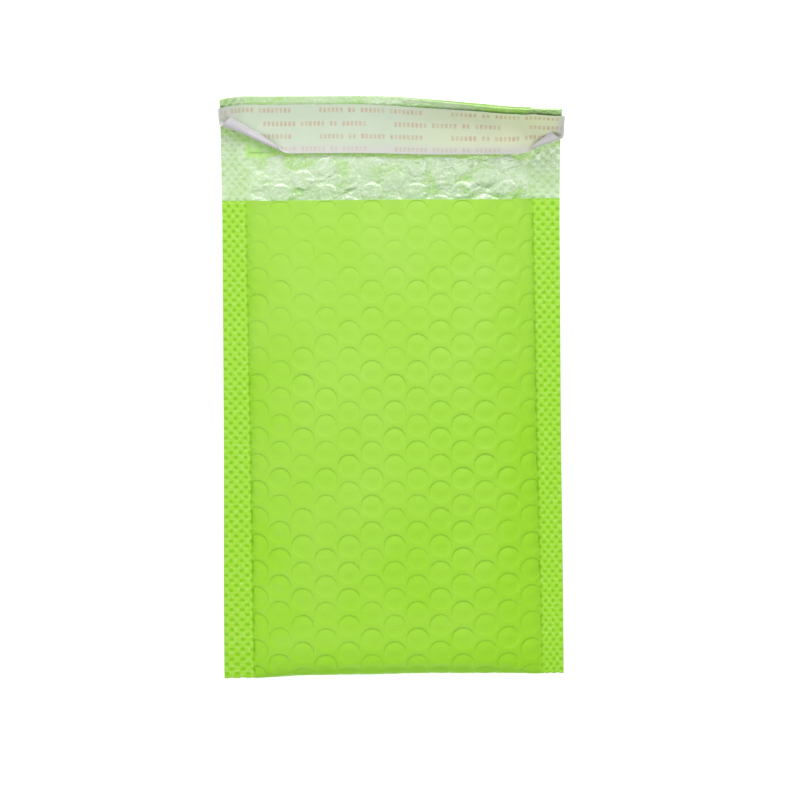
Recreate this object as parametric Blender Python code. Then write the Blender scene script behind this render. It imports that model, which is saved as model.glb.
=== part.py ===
"""Bubble mailer: a lime film envelope lined with bubble film, lying on its back with the flap open.

The outer film is one sheet: it folds at the bottom, is sealed down both sides, and runs on past the
mouth as the flap. The bubble lining is folded inside it and forms the pouch. An adhesive strip and
its release liner lie on the flap. +Z is up out of the front panel and +Y runs towards the flap.
"""

import math

import bmesh
import bpy
import numpy as np
from mathutils import Matrix, Vector
from mathutils.geometry import delaunay_2d_cdt

# Overall size, metres.
WIDTH = 0.150  # edge to edge across the side seals
PANEL = 0.210  # mouth to bottom fold
FLAP = 0.0469  # mouth to the flap's free edge, along the film
SEAL = 0.0118  # width of each side seal

# How the empty mailer stands open.
CROWN = 0.0142  # front panel's highest line above the floor
MOUTH_DROP = 0.0014  # how much lower the mouth is than the crown
FOLD_DROP = 0.0036  # how much lower the bottom fold is
CROWN_AT = 0.58  # crown's place, as a share of the panel above the fold
SEAM_HEIGHT = 0.0020  # underside of the side seals above the floor
SEAM_RISE = 0.012  # width over which the back rises to the seal
FOLD_DEPTH = 0.0070  # how far in from the fold the round end starts
FOLD_DRAWN_IN = 0.0008  # the thick middle pulls the fold up past the flat corners
FOLD_SKEW = 0.0007  # left corner hangs lower than the right one

# How the flap curls up off the floor, in radians at its free edge.
CURL_MIDDLE = 0.25
CURL_RIGHT = 1.16
CURL_LEFT = 0.58
CURL_RIGHT_FROM = 0.090  # width over which the curl grows towards the right edge

# Thicknesses of the layers.
FILM = 0.0008  # outer film over the panels
FILM_SEAL = 0.00035  # outer film at the seals
THINNING = 0.004  # width over which the film thins towards a seal
GAP = 0.0003  # between one layer and the next
FLANGE = 0.00025  # half of the welded lining in a side seal
LINING_WALL = 0.0024  # bubble lining of one panel
LINING_BASE = 0.0005  # flat film between the bubbles, on the flap
STRIP_LEVEL = 0.0019  # lining pressed flat under the adhesive
WEDGE = 0.0027  # the pouch stops this far inside the seal

# Bubbles, on a honeycomb grid.
BUBBLE_RADIUS = 0.0050
COLUMN_PITCH = 0.01003
ROW_PITCH = 0.01180
COLUMNS = 13
COLUMN_SHIFT = 0.0011  # the grid isn't centred on the panel
FIRST_ROW = 0.0108  # middle column's first bubble, from the mouth
DIMPLE = 0.00045  # depth of a bubble's print in the outer film
DOME_CUT = 0.0015  # a bubble cut by more than this at a seal is left flat
DOME = 0.0017  # height of a bubble of the lining on the flap
FRONT_SIDES, BACK_SIDES, DOME_SIDES = 9, 6, 8
CREASE_ANGLE = 0.85  # edges that bend more than this, in radians, are shown crisp
BUBBLE_EDGE = 0.0004  # closest that a bubble's outline comes to a seal or an edge

# Closing strip.
STRIP_START = 0.0224  # from the mouth, along the flap
STRIP_WIDTH = 0.0205
STRIP_LENGTH = 0.122
STRIP_THICKNESS = 0.0002
LINER_START = 0.0218
LINER_WIDTH = 0.0217
LINER_PAST_LEFT = 0.0006
LINER_PAST_RIGHT = 0.0009
LINER_THICKNESS = 0.00025
LINER_LIFT = 0.0008  # how far the liner's free lower edge stands up
# Each lower corner rolls up along a line: distance in from the corner along the lower edge and up
# the side, radius of the roll, and how far round it goes.
ROLL_LEFT = (0.031, 0.0118, 0.0016, 2.8)
ROLL_RIGHT = (0.018, 0.0105, 0.0022, 1.9)

HALF = WIDTH / 2
INNER = HALF - SEAL  # inside edge of a seal
POUCH = INNER - WEDGE  # half-width of the pouch
STACK = FILM_SEAL + GAP + FLANGE  # half the thickness of a side seal
Y_FOLD = -(PANEL + FLAP) / 2
Y_MOUTH = Y_FOLD + PANEL
Y_CROWN = Y_FOLD + CROWN_AT * PANEL
WALL = FILM + GAP + LINING_WALL

# Places across the mailer and along it where the smooth inner skins have their points.
ACROSS = sorted(
    sign * x for sign in (-1, 1) for x in (HALF, INNER, POUCH, INNER - 0.0092, 0.042, 0.021)
) + [0.0]
ACROSS.sort()
FOLD_ROWS = (1.0, 0.68, 0.35, 0.0)  # shares of the round end
PANEL_ROWS = (1.0, 0.86, 0.70, 0.52, 0.34, 0.17)  # shares of the flat part
CREASE_STEP = 0.013  # points along the inside edge of a seal
FLAP_ROWS = (1 / 6, 1 / 3, 1 / 2, 2 / 3, 5 / 6, 1)
POUCH_ROWS = (1.0, 0.82, 0.62, 0.40, 0.20)


def smooth(t):
    t = np.clip(t, 0, 1)
    return t * t * (3 - 2 * t)


def shoulder(x):
    """0 at the inside edge of a seal, rising steeply to 1 in the middle."""
    return np.sqrt(1 - np.clip(np.abs(x) / INNER, 0, 1) ** 3)


def crown(y):
    up = np.clip((y - Y_CROWN) / (Y_MOUTH - Y_CROWN), 0, 1)
    down = np.clip((Y_CROWN - y) / (Y_CROWN - Y_FOLD), 0, 1)
    return CROWN - MOUTH_DROP * up**2 - FOLD_DROP * down**2


def back_height(x):
    return SEAM_HEIGHT * np.clip((np.abs(x) - INNER + SEAM_RISE) / SEAM_RISE, 0, 1) ** 2


def front_height(x, y):
    low = back_height(x) + 2 * STACK
    return low + (crown(y) - low) * shoulder(x)


def fold_line(x):
    return Y_FOLD + FOLD_DRAWN_IN * shoulder(x) ** 2 + FOLD_SKEW * x / HALF


def fold_depth(x):
    return STACK + (FOLD_DEPTH - STACK) * shoulder(x)


def half_height(x, y):
    return (front_height(x, y) - back_height(x)) / 2


def fold_length(x):
    """Length of film round half of the bottom fold."""
    a, b = fold_depth(x), half_height(x, fold_line(x) + fold_depth(x))
    return math.pi / 4 * (3 * (a + b) - np.sqrt((3 * a + b) * (a + 3 * b)))


SIDE = float(PANEL - FOLD_DEPTH + fold_length(0.0))  # film from the mouth to the fold's tip
WEB = 2 * SIDE + FLAP


def film_inner(x):
    """Depth of the film's inner face below its outer face."""
    return FILM_SEAL + (FILM - FILM_SEAL) * smooth((INNER - np.abs(x)) / THINNING)


def lining_outer(x):
    return film_inner(x) + GAP


def flap_curl(x):
    right = np.sin(math.pi / 2 * np.clip((x - HALF) / CURL_RIGHT_FROM + 1, 0, 1)) ** 1.4
    left = np.clip((-x - INNER) / SEAL, 0, 1.1)
    return CURL_MIDDLE + (CURL_RIGHT - CURL_MIDDLE) * right + (CURL_LEFT - CURL_MIDDLE) * left


def place(x, s, depth):
    """Point of the folded web: x across, s along the film from the front of the mouth, round the
    bottom fold and back up to the flap, and depth inwards from the film's outer face."""
    x, s, depth = np.broadcast_arrays(*(np.asarray(v, float) for v in (x, s, depth)))
    tip, a, end = fold_line(x), fold_depth(x), fold_length(x)
    t = np.minimum(np.abs(SIDE - s), SIDE)
    on_front = s <= SIDE
    flat = tip + a + (t - end) / (SIDE - end) * (Y_MOUTH - tip - a)
    angle = np.clip(t / end, 0, 1) * math.pi / 2
    y = np.where(t < end, tip + depth + (a - depth) * (1 - np.cos(angle)), flat)
    y_height = np.maximum(y, tip + a)
    middle = (front_height(x, y_height) + back_height(x)) / 2
    rise = (half_height(x, y_height) - depth) * np.sin(angle)
    z = np.where(on_front, middle + rise, middle - rise)
    v = s - 2 * SIDE
    bend = flap_curl(x) / FLAP
    turn = np.maximum(v, 0) * bend
    flap_y = Y_MOUTH + np.sin(turn) / bend - depth * np.sin(turn)
    flap_z = back_height(x) + (1 - np.cos(turn)) / bend + depth * np.cos(turn)
    return np.stack([x, np.where(v > 0, flap_y, y), np.where(v > 0, flap_z, z)], axis=-1)


class Shell:
    """Collects patches of points and faces that are welded into one closed mesh."""

    def __init__(self):
        self.points = []
        self.faces = []
        self.sharp = []

    def add(self, points, faces, sharp=()):
        """Adds a patch; sharp lists the pairs of its points whose edges stay crisp."""
        start = len(self.points)
        self.points.extend(tuple(map(float, p)) for p in np.reshape(points, (-1, 3)))
        self.faces.extend([start + i for i in face] for face in faces)
        self.sharp.extend((start + a, start + b) for a, b in sharp)

    def grid(self, points, to_corners=False):
        """Points in rows and columns, joined by triangles. All diagonals lean the same way, so that
        skins above one another keep their distance. With to_corners they run out to the two last
        corners, so that two grids that share their edges close up there."""
        rows, columns = points.shape[:2]
        faces = []
        for r in range(rows - 1):
            for c in range(columns - 1):
                a, b = r * columns + c, r * columns + c + 1
                d, e = a + columns, b + columns
                other = to_corners and c < (columns - 1) / 2
                faces += [(a, b, d), (b, e, d)] if other else [(a, b, e), (a, e, d)]
        self.add(points, faces)

    def strip(self, one, other):
        """Joins two lines of points that have the same count."""
        self.grid(np.stack([np.asarray(one), np.asarray(other)]))

    def build(self, name, material):
        work = bmesh.new()
        verts = [work.verts.new(p) for p in self.points]
        for face in self.faces:
            work.faces.new([verts[i] for i in face])
        for pair in self.sharp:
            edge = work.edges.get([verts[i] for i in pair])
            if edge:
                edge.smooth = False
        bmesh.ops.remove_doubles(work, verts=work.verts, dist=2e-6)
        bmesh.ops.dissolve_degenerate(work, edges=work.edges, dist=1e-6)
        bmesh.ops.triangulate(work, faces=work.faces)
        bmesh.ops.recalc_face_normals(work, faces=work.faces)
        for edge in work.edges:
            if edge.calc_face_angle(0.0) > CREASE_ANGLE:
                edge.smooth = False
        mesh = bpy.data.meshes.new(name)
        work.to_mesh(mesh)
        work.free()
        mesh.polygons.foreach_set("use_smooth", [True] * len(mesh.polygons))
        mesh.materials.append(material)
        made = bpy.data.objects.new(name, mesh)
        bpy.context.scene.collection.objects.link(made)
        return made


def triangulated(points, lines):
    """Triangles over flat points (mm), keeping the given lines; the first of any doubled points is used."""
    _, _, faces, found, _, _ = delaunay_2d_cdt([Vector(p) for p in points], lines, [], 0, 1e-4)
    back = [sources[0] for sources in found]
    return [[back[i] for i in face] for face in faces]


def bubbles(s_from, s_to, keep_in=0.0):
    """Centres (x, s) of the bubbles between two places along the web."""
    made = []
    for column in range(COLUMNS):
        i = column - COLUMNS // 2
        x = COLUMN_SHIFT + i * COLUMN_PITCH
        first = FIRST_ROW + (ROW_PITCH / 2 if i % 2 else 0) - 2 * ROW_PITCH
        for k in range(int(WEB / ROW_PITCH) + 4):
            s = first + k * ROW_PITCH
            if abs(x) < INNER - BUBBLE_EDGE and s_from + keep_in < s < s_to - keep_in:
                made.append((x, s))
    return made


def ring(x, s, radius, sides, s_low, s_high):
    """Outline of a bubble, held inside the panel."""
    angles = (np.arange(sides) + 0.25) * 2 * math.pi / sides
    xs = np.clip(x + radius * np.cos(angles), -INNER + BUBBLE_EDGE, INNER - BUBBLE_EDGE)
    return xs, np.clip(s + radius * np.sin(angles), s_low, s_high)


def web_rows(x):
    """Distances along the web, at x, of the rows of points that all smooth skins share."""
    end = fold_length(x)
    flat = [SIDE - end - (SIDE - end) * share for share in PANEL_ROWS]
    half = flat + [SIDE - end * share for share in FOLD_ROWS]
    whole = half + [2 * SIDE - s for s in half[-2::-1]]
    return np.array(whole + [2 * SIDE + FLAP * share for share in FLAP_ROWS])


def skin(depth):
    """Smooth skin of the whole web, in rows along it, at depth(x) below the film's outer face."""
    rows = np.array([web_rows(x) for x in ACROSS]).T
    across = np.broadcast_to(np.array(ACROSS), rows.shape)
    return place(across, rows, depth(across))


def seal_diagonals(x, side, crease):
    """Lines across a seal on the flap that split it like Shell.grid does."""
    count = len(FLAP_ROWS) + 1
    side, crease = side[-count:], crease[-count:]
    return list(zip(side, crease[1:]) if x < 0 else zip(crease, side[1:]))


def outer_film(material):
    shell = Shell()
    inner = skin(film_inner)
    sides = web_rows(HALF)
    points, depths, lines, rims = [], [], [], []

    def put(xs, ss, depth):
        start = len(points)
        points.extend(zip(np.atleast_1d(xs) * 1000, np.atleast_1d(ss) * 1000))
        depths.extend([depth] * (len(points) - start))
        return list(range(start, len(points)))

    for s in (0.0, WEB):
        edge = put(ACROSS, np.full(len(ACROSS), s), 0.0)
        lines += list(zip(edge, edge[1:]))
    side_edges = []
    for x in (-HALF, HALF):
        edge = put(np.full(len(sides), x), sides, 0.0)
        side_edges.append(edge)
        lines += list(zip(edge, edge[1:]))
    stations = web_rows(INNER)
    crease_rows = np.concatenate(
        [
            np.linspace(a, b, max(1, round((b - a) / CREASE_STEP)), endpoint=False)
            for a, b in zip(stations, stations[1:])
        ]
        + [[WEB]]
    )
    for x, side in zip((-INNER, INNER), side_edges):
        edge = put(np.full(len(crease_rows), x), crease_rows, 0.0)
        lines += list(zip(edge, edge[1:])) + seal_diagonals(x, side, edge)
    for x, s in bubbles(0, WEB, BUBBLE_EDGE * 3):
        count = FRONT_SIDES if s < SIDE + BUBBLE_RADIUS else BACK_SIDES
        rim = put(*ring(x, s, BUBBLE_RADIUS, count, BUBBLE_EDGE, WEB - BUBBLE_EDGE), 0.0)
        rims += list(zip(rim, rim[1:] + rim[:1]))
        put(x, s, DIMPLE)
    flat = np.array(points) / 1000
    outer = place(flat[:, 0], flat[:, 1], depths)
    shell.add(outer, triangulated(points, lines), rims)
    shell.grid(inner)
    shell.strip(place(ACROSS, 0.0, 0.0), inner[0])
    shell.strip(place(ACROSS, WEB, 0.0), inner[-1])
    shell.strip(place(-HALF, sides, 0.0), inner[:, 0])
    shell.strip(place(HALF, sides, 0.0), inner[:, -1])
    return shell.build("outer_film", material)


def flap_lining_depth(x, level):
    """Depth of the lining's upper face on the flap: level above its lower face in the panel, thin at
    the seals, and never above the flat top that the middle of the flap has."""
    inside = np.abs(x) < INNER - 1e-6
    low = lining_outer(x)
    top = FILM + GAP + level - back_height(x)
    return low + np.where(inside, np.clip(top - low, 0.0003, level), 0.0003)


def flap_lining(shell):
    """Upper face of the lining on the flap, with its bubbles and the flat bed of the adhesive."""
    start = 2 * SIDE
    points, depths, lines = [], [], []

    def put(xs, ss, level, above=0.0):
        first = len(points)
        xs, ss = np.broadcast_arrays(np.atleast_1d(xs), np.atleast_1d(ss))
        points.extend(zip(xs * 1000, (ss - start) * 1000))
        depths.extend(flap_lining_depth(xs, level) + above)
        return list(range(first, len(points)))

    across = np.array(ACROSS)
    rows = web_rows(HALF)[-len(FLAP_ROWS) - 1 :]
    inside = across[np.abs(across) < INNER + 1e-6]
    for s in (rows[0], rows[-1]):
        edge = put(across, s, LINING_BASE)
        lines += list(zip(edge, edge[1:]))
    for x in (-1, 1):
        side, crease = put(x * HALF, rows, LINING_BASE), put(x * INNER, rows, LINING_BASE)
        lines += list(zip(side, side[1:])) + list(zip(crease, crease[1:]))
        lines += seal_diagonals(x, side, crease)
    bed = start + STRIP_START
    for s, level in (
        (bed - 0.0016, LINING_BASE),
        (bed - 0.0006, STRIP_LEVEL),
        (bed + STRIP_WIDTH / 3, STRIP_LEVEL),
        (bed + STRIP_WIDTH * 2 / 3, STRIP_LEVEL),
        (bed + STRIP_WIDTH + 0.0006, STRIP_LEVEL),
        (bed + STRIP_WIDTH + 0.0016, LINING_BASE),
    ):
        edge = put(inside, s, level)
        lines += list(zip(edge, edge[1:]))
    top = bed - 0.0020
    for x, s in bubbles(start, top, BUBBLE_RADIUS * 0.45):
        if abs(x) + BUBBLE_RADIUS > INNER + DOME_CUT:
            continue
        put(*ring(x, s, BUBBLE_RADIUS * 0.94, DOME_SIDES, start + 0.0005, top), LINING_BASE)
        put(*ring(x, s, BUBBLE_RADIUS * 0.72, DOME_SIDES, start + 0.0009, top - 0.0005), LINING_BASE, DOME * 0.72)
        put(x, s, LINING_BASE, DOME)
    flat = np.array(points) / 1000
    shell.add(place(flat[:, 0], flat[:, 1] + start, depths), triangulated(points, lines))


def pouch(shell):
    """Hollow of the lining; returns the two edges that it has at the mouth."""
    across = np.array([x for x in ACROSS if abs(x) < POUCH + 1e-6])
    tip = fold_line(across) + WALL
    depth = FOLD_DEPTH - 0.001
    flat = [tip + depth + (Y_MOUTH - tip - depth) * share for share in POUCH_ROWS]
    ends = [(tip + depth * (1 - math.sin(a)), math.cos(a)) for a in np.radians((0, 30, 60, 90))]
    rows = np.array(flat + [y for y, _ in ends])
    open_by = np.array([1.0] * len(flat) + [share for _, share in ends])[:, None]
    xs = np.broadcast_to(across, rows.shape)
    spread = np.sqrt(np.clip(1 - (np.abs(xs) / POUCH) ** 3, 0, 1))
    gap = (crown(rows) / 2 - WALL) * spread * np.where(open_by < 1e-9, 0, open_by)
    middle = (front_height(xs, np.maximum(rows, tip + depth)) + back_height(xs)) / 2
    upper = np.stack([xs, rows, middle + gap], axis=-1)
    lower = np.stack([xs, rows, middle - gap], axis=-1)
    shell.grid(upper, to_corners=True)
    shell.grid(lower, to_corners=True)
    return lower[0], upper[0]


def bubble_lining(material):
    shell = Shell()
    outside = skin(lining_outer)
    shell.grid(outside)
    half = len(FOLD_ROWS) + len(PANEL_ROWS)
    mouth = 2 * half - 2  # row of the back panel at the mouth
    for column in (0, -1):
        edge = outside[: mouth + 1, column]
        shell.strip(edge[:half], edge[: half - 2 : -1])
    for x, column in ((-HALF, 0), (HALF, -1)):
        rows = web_rows(HALF)[mouth:]
        top = place(x, rows, flap_lining_depth(np.full(len(rows), x), LINING_BASE))
        shell.strip(outside[mouth:, column], top)
        shell.add([outside[0, column], outside[mouth, column], top[0]], [(0, 1, 2)])
    across = np.array(ACROSS)
    level = flap_lining_depth(across, LINING_BASE)
    shell.strip(outside[-1], place(across, WEB, level))
    # The wall at the mouth: the front lining's cut edge, the step down to the flap, and the seals.
    low, high = place(across, 2 * SIDE, level), outside[0]
    floor, roof = pouch(shell)
    inside = [i for i, x in enumerate(ACROSS) if abs(x) < POUCH + 1e-6]
    shell.strip(low[inside], floor)
    shell.strip(high[inside], roof)
    for near, far, corner in ((inside[0], inside[0] - 1, floor[0]), (inside[-1], inside[-1] + 1, floor[-1])):
        shell.add([low[far], low[near], corner, high[near], high[far]], [(0, 1, 2, 3, 4)])
        step = -1 if far < near else 1
        for i in range(far, 0 if step < 0 else len(ACROSS) - 1, step):
            shell.add([low[i], low[i + step], high[i + step], high[i]], [(0, 1, 2, 3)])
    flap_lining(shell)
    return shell.build("bubble_lining", material)


def adhesive_strip(material):
    shell = Shell()
    half = STRIP_LENGTH / 2
    inside = [x for x in ACROSS if abs(x) < half - 0.001]
    across = np.array([-half] + inside + [half])
    rows = 2 * SIDE + STRIP_START + STRIP_WIDTH * np.linspace(0, 1, 4)
    low = FILM + GAP + STRIP_LEVEL + GAP - back_height(across)
    faces = [place(across, rows[:, None], low + t) for t in (0.0, STRIP_THICKNESS)]
    close_slab(shell, *faces)
    return shell.build("adhesive_strip", material)


def close_slab(shell, under, over):
    shell.grid(under)
    shell.grid(over)
    for a, b in (
        (under[0], over[0]),
        (under[-1], over[-1]),
        (under[:, 0], over[:, 0]),
        (under[:, -1], over[:, -1]),
    ):
        shell.strip(a, b)


def rolled(x, v, roll, corner):
    """Where a point of the liner goes when its corner rolls up: the shift across and along the flap,
    the height gained, and the angle turned."""
    along_edge, up_side, radius, most = roll
    toward = math.copysign(1.0, corner)
    normal = np.array([toward * up_side, -along_edge]) / math.hypot(up_side, along_edge)
    past = (x - corner) * normal[0] + (v - LINER_START) * normal[1]
    past = past + along_edge * up_side / math.hypot(up_side, along_edge) + radius
    past = np.maximum(past, 0)
    turn = np.minimum(past / radius, most)
    tail = past - turn * radius
    shift = radius * np.sin(turn) + tail * np.cos(turn) - past
    rise = radius * (1 - np.cos(turn)) + tail * np.sin(turn)
    return normal, shift, rise, turn


def liner_rows_and_columns():
    """Points of the liner, closer together where its corners roll up."""
    left, right = -HALF - LINER_PAST_LEFT, HALF + LINER_PAST_RIGHT
    near, far = left + 0.034, right - 0.022
    middle = [x for x in ACROSS if near + 0.001 < x < far - 0.001]
    columns = np.concatenate([np.linspace(left, near, 12), middle, np.linspace(far, right, 9)])
    rows = LINER_START + LINER_WIDTH * np.array([0, 0.1, 0.2, 0.31, 0.43, 0.56, 0.76, 1.0])
    return columns, rows


def release_liner(material):
    shell = Shell()
    columns, rows = liner_rows_and_columns()
    x, v = np.meshgrid(columns, rows)
    lift = LINER_LIFT * (1 - smooth((v - LINER_START) / 0.008))
    base = FILM + GAP + STRIP_LEVEL + GAP + STRIP_THICKNESS + 2 * GAP - back_height(x) + lift
    faces = []
    for thickness in (0.0, LINER_THICKNESS):
        to_x, to_v, height = x.copy(), v.copy(), base.copy()
        turned = np.zeros_like(x)
        for roll, corner in ((ROLL_LEFT, columns[0]), (ROLL_RIGHT, columns[-1])):
            normal, shift, rise, turn = rolled(x, v, roll, corner)
            slide = shift - thickness * np.sin(turn)
            to_x += slide * normal[0]
            to_v += slide * normal[1]
            height += rise
            turned = np.maximum(turned, turn)
        height += thickness * np.cos(turned)
        # A corner that rolls up stands clear of the seal, which is higher than the panel beside it.
        faces.append(place(to_x, 2 * SIDE + to_v, height))
    close_slab(shell, *faces)
    return shell.build("release_liner", material)


def principled(name, color, roughness, transmission=0.0):
    made = bpy.data.materials.new(name)
    made.use_nodes = True
    shader = made.node_tree.nodes["Principled BSDF"]
    shader.inputs["Base Color"].default_value = (*color, 1.0)
    shader.inputs["Roughness"].default_value = roughness
    shader.inputs["Transmission Weight"].default_value = transmission
    made.diffuse_color = (*color, 1.0)
    return made


def centre(objects):
    """Moves the whole mailer so that its box is centred on Z and stands on the floor."""
    points = np.array([v.co for obj in objects for v in obj.data.vertices])
    low, high = points.min(axis=0), points.max(axis=0)
    shift = Matrix.Translation((-(low[0] + high[0]) / 2, -(low[1] + high[1]) / 2, -low[2]))
    for obj in objects:
        obj.data.transform(shift)


def main():
    for obj in list(bpy.data.objects):
        bpy.data.objects.remove(obj, do_unlink=True)
    centre(
        [
            outer_film(principled("lime_film", (0.38, 0.74, 0.07), 0.42)),
            bubble_lining(principled("clear_bubble_film", (0.55, 0.77, 0.42), 0.25)),
            adhesive_strip(principled("adhesive", (0.80, 0.82, 0.70), 0.50)),
            release_liner(principled("frosted_liner", (0.61, 0.70, 0.53), 0.45)),
        ]
    )


main()
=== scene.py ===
"""Looks of the bubble mailer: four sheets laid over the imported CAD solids, lit and seen as in the photograph.

The film, the bubble lining, the adhesive strip and the release liner each get one detailed mesh, made
from the same shape functions as part.py: x across, s along the folded web from the front of the mouth
round the bottom fold and out to the flap's edge, and depth inwards from the film's outer face.
"""

import math

import bmesh
import bpy
import numpy as np
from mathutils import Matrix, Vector
from mathutils.geometry import delaunay_2d_cdt


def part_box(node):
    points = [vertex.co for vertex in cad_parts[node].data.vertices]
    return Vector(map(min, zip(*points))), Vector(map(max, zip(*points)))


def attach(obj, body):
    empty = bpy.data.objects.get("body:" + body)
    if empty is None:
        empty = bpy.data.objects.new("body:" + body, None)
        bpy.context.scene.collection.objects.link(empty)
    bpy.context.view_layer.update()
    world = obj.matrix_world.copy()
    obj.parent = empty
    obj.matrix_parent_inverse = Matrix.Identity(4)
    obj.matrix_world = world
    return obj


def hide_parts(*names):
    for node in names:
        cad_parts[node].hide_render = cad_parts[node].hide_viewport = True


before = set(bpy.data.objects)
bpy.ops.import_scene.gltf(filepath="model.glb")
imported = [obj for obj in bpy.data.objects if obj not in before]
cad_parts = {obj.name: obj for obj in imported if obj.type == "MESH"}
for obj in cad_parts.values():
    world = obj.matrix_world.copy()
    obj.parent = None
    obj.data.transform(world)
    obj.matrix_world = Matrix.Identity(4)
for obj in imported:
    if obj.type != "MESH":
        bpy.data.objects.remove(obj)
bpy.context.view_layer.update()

# Sizes of the CAD model, metres: the envelope.
WIDTH = 0.150
PANEL = 0.210  # from the mouth to the bottom fold
FLAP = 0.0469
SEAL = 0.0118  # width of a side seal
CROWN = 0.0142  # thickness of the pouch where it is thickest
CROWN_AT = 0.58  # share of the panel from the fold up to there
MOUTH_DROP = 0.0014  # how much thinner the pouch is at the mouth
FOLD_DROP = 0.0036  # how much thinner it is at the fold
SEAM_HEIGHT = 0.0020  # height of the back at the seals
SEAM_RISE = 0.012  # width over which the back rises to it
FOLD_DEPTH = 0.0070  # how far the round of the bottom fold reaches
FOLD_DRAWN_IN = 0.0008  # how far the middle of the fold stands back
FOLD_SKEW = 0.0007  # how far its right end stands back, and its left end forward
CURL_MIDDLE, CURL_RIGHT, CURL_LEFT = 0.25, 1.16, 0.58  # turn of the flap's edge, radians
CURL_RIGHT_FROM = 0.090  # from the right edge to where its curl sets in

# The films and the bubbles.
FILM = 0.0008
FILM_SEAL = 0.00035  # thickness of the film in a seal
GAP = 0.0003  # between one solid and the next
FLANGE = 0.00025  # thickness of the lining in a seal
LINING_WALL = 0.0024
LINING_BASE = 0.0005  # the lining's flat sheet, on the flap
WEDGE = 0.0027  # from a seal's inside edge to the pouch
BUBBLE_RADIUS = 0.0050
COLUMN_PITCH = 0.01003
ROW_PITCH = 0.01180
COLUMNS = 13
COLUMN_SHIFT = 0.0011  # how far to the right the middle column stands
FIRST_ROW = 0.0108  # from the mouth to the first row
BUBBLE_EDGE = 0.0004  # a bubble's print stops this far from a seal

# The adhesive strip and its liner. Their starts are measured up from the flap's root.
STRIP_LEVEL = 0.0019  # height of the crushed bubbles under the adhesive
STRIP_START = 0.0224
STRIP_WIDTH = 0.0205
STRIP_LENGTH = 0.122
STRIP_THICKNESS = 0.0002
LINER_START = 0.0218
LINER_WIDTH = 0.0217
LINER_PAST_LEFT = 0.0006  # how far the liner stands out past the flap
LINER_PAST_RIGHT = 0.0013
LINER_THICKNESS = 0.00025
LINER_LIFT = 0.0004  # how high its lower edge is lifted
# A rolled corner: reach along the edge and up the end, radius at the end and at the edge, turn.
ROLL_LEFT = (0.031, 0.0142, 0.0021, 0.0008, 4.4)
ROLL_RIGHT = (0.018, 0.0090, 0.0016, 0.0010, 4.2)

# Worked out from them: half widths to the edge, the seals and the pouch, then places along y.
HALF = WIDTH / 2
INNER = HALF - SEAL
POUCH = INNER - WEDGE
STACK = FILM_SEAL + GAP + FLANGE  # film and lining in a seal
Y_FOLD = -(PANEL + FLAP) / 2
Y_MOUTH = Y_FOLD + PANEL
Y_CROWN = Y_FOLD + CROWN_AT * PANEL
WALL = FILM + GAP + LINING_WALL  # film and lining in a panel

# Detail that the scene adds, metres. A zone is the place where a change sets in and the length over
# which it grows.
WAIST = 0.0060  # share by which the envelope is narrower away from its bottom
WAIST_ZONE = (-0.105, 0.090)
WAIST_MOUTH_ZONE = (0.072, 0.020)  # here half of the waist is lost again
BOTTOM_DRAWN_IN = 0.00042  # how far the padding draws in the bottom edge
BOTTOM_LEAN = 0.35  # share by which that is more at the left and less at the right
BOTTOM_ACROSS, BOTTOM_ALONG = 0.022, 0.018  # it grows from the seals, and fades up the panel
SEAM_LEAN = 0.012  # radians that the seals' inside edges lean
SEAM_RIGHT = 0.0012  # how much narrower the right seal is
SEAM_RIGHT_ZONE = (0.020, 0.035)
FLAP_SKEW = 0.0013  # how much further the right end of the flap reaches
FLAP_SKEW_ZONE = (0.010, 0.050)
FLAP_SKEW_ALONG = 0.020

GRID_TURN = 0.006  # radians that the bubbles' grid is turned
LEFT_SPREAD = 0.0006  # how much further out the left columns stand
LEFT_SPREAD_ZONE = (0.012, 0.045)
PRINT_DEPTH = 0.00050  # depth of the groove that each bubble prints in the film
EDGE_TO_BUBBLE = 0.0015  # least distance from the film's two ends to a bubble's middle
SEAL_PRESSED = 0.00015  # the film lies this much deeper in a seal than the CAD solid's face
SEAL_SLOPE = 0.0016  # width over which it goes down to that
KNURL_INSET = 0.00105  # from the outside edge to the first column of pits
KNURL_ACROSS, KNURL_ALONG, KNURL_DEPTH = 0.00428, 0.00438, 0.00048
KNURL_EARLY, KNURL_SLOPE = 0.0002, 0.0010  # they set in before the seal, and grow over this width
SEAL_COLUMNS = 16
SEAL_ROW = KNURL_ALONG / 6
SLOW_WAVE, SLOW_WAVE_LENGTH = 0.00025, 0.05
SLOW_WAVE_EDGE = 0.02  # width over which the slow waves grow from the seals
MOUTH_REACH = 0.008  # how far into the front the cut edge's waves are felt
MOUTH_WAVE, MOUTH_WAVE_LENGTH = 0.00016, 0.06
MOUTH_AT_SEALS = 0.0007  # how much further up the cut edge lies at the seals
MOUTH_SEAL_ZONE = (0.050, 0.016)
THIN = 0.0001  # thickness that shows at the film's cut edges

# The lining over the flap: crushed bubbles and creases where it is loose, flat under the strip.
LINING_LEAST = 0.0003  # its least thickness, as in the flap's seals
UPPER_CLEAR = 0.00012  # least distance from the pressed green film to its upper face
LOWER_CLEAR = 0.00004  # from the green film to its lower face
CRUSHED_HEIGHT = 0.0008
DENT_OFF, DENT_WIDTH = 0.0014, 0.0017  # the dent in a crushed bubble
CRUMPLE, CRUMPLE_LENGTH = 0.00038, 0.0034
FINE_CRUMPLE, FINE_CRUMPLE_LENGTH = 0.00016, 0.0016
SEAL_CRUMPLE, SEAL_CRUMPLE_LENGTH = 0.00012, 0.0022
MARGIN_CRUMPLE, MARGIN_CRUMPLE_LENGTH = 0.00012, 0.0030
CREST_HEIGHT = 0.00020
CREST_LINES = ((42, 0.0062, 0.09), (44, 0.0038, 0.14), (46, 0.0025, 0.22))  # seed, length, width
LOOSE_LIFT = 0.0002
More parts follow.
